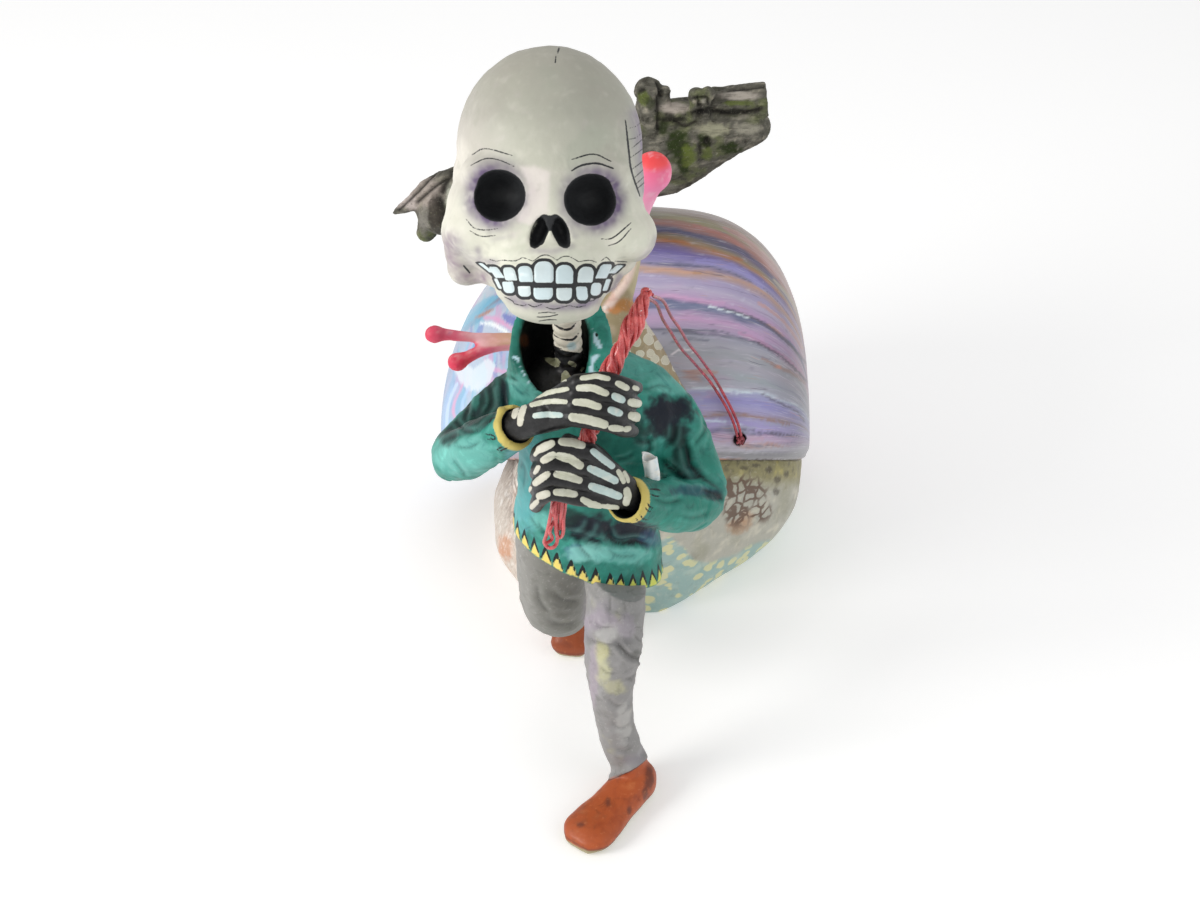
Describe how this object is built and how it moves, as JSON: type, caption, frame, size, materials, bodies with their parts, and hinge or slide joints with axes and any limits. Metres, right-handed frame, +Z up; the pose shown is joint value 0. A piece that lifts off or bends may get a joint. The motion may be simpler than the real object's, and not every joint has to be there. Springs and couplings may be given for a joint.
{
  "type": "paper-mache skeleton and giant snail figure group",
  "caption": "Standing paper-mache skeleton in a short jacket who leads a giant snail by a twisted cord, with a log laid across the snail's shell.",
  "frame": {"origin": "on the ground under the middle of the group's bounding box", "axes": "+Z up, +X to the figure's left, the figure walks towards -Y with the snail behind it"},
  "size_m": [0.295, 0.4896, 0.4848],
  "materials": {
    "bone_paint": "matt painted paper-mache, pale greenish cream",
    "black_bone_paint": "satin black paint with cream bones",
    "green_paint": "satin teal green over crumpled paper",
    "grey_paint": "matt grey paint, orange shoes",
    "shell_paint": "satin streaked lavender and ochre",
    "skin_paint": "satin tan with painted spots",
    "weathered_wood": "weathered grey wood with moss",
    "red_cord": "glossy red cord",
    "white_paper": "matt white paper"
  },
  "bodies": {
    "root": {"skull": "bone_paint", "neck_and_chest": "black_bone_paint", "jacket": "green_paint", "right_hand": "black_bone_paint", "left_hand": "black_bone_paint", "legs": "grey_paint", "cord_hank": "red_cord", "cord_strand_1": "red_cord", "cord_strand_2": "red_cord", "shell_knot": "red_cord", "paper_roll": "white_paper", "snail_shell": "shell_paint", "snail_body": "skin_paint", "driftwood_log": "weathered_wood"}
  },
  "joints": []
}
